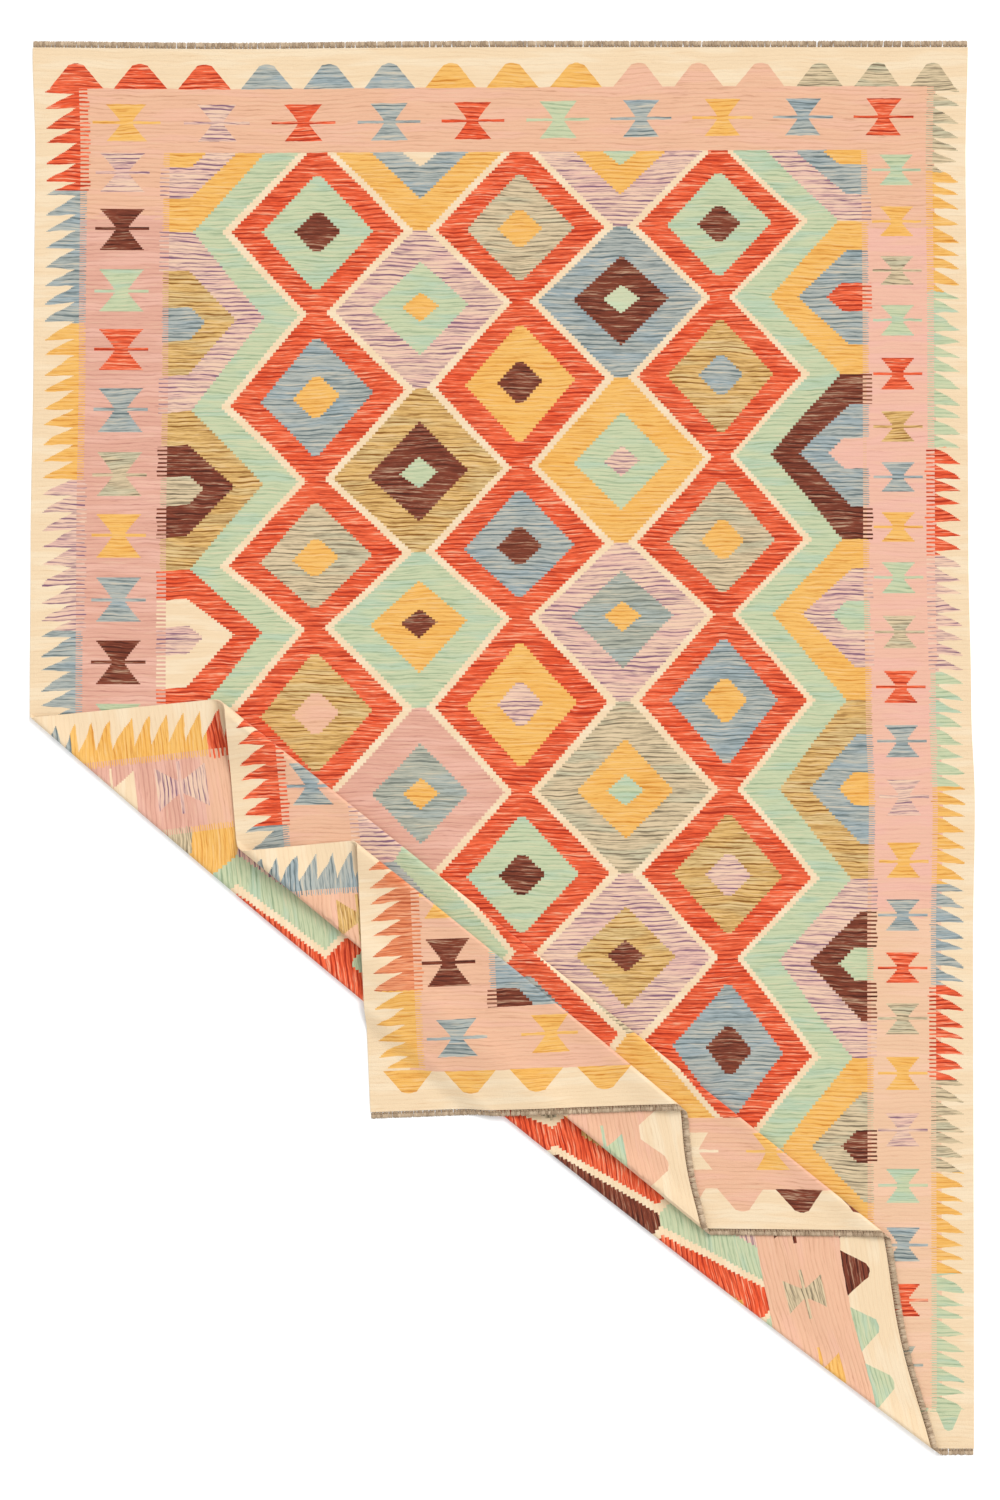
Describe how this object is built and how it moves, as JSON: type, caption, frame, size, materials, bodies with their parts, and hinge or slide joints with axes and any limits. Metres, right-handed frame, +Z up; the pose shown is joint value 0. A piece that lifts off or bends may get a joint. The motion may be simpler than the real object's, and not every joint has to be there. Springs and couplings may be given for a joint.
{
  "type": "kilim rug",
  "caption": "Flat-woven rectangular rug lying face up on the floor, a lower corner folded back and forth in slanting layers, knotted warp ends at top and bottom",
  "frame": {"origin": "on the floor, under the middle of the rug's bounding box", "axes": "+X to the rug's right as seen from above with the whole end at the top, +Y towards that end, +Z up"},
  "size_m": [2.0157, 3.022, 0.0358],
  "materials": {
    "dyed_wool": "matte, dry wool",
    "undyed_warp": "matte, undyed yarn"
  },
  "bodies": {
    "root": {"rug_cloth": "dyed_wool", "end_knots_top": "undyed_warp", "end_knots_bottom": "undyed_warp"}
  },
  "joints": []
}
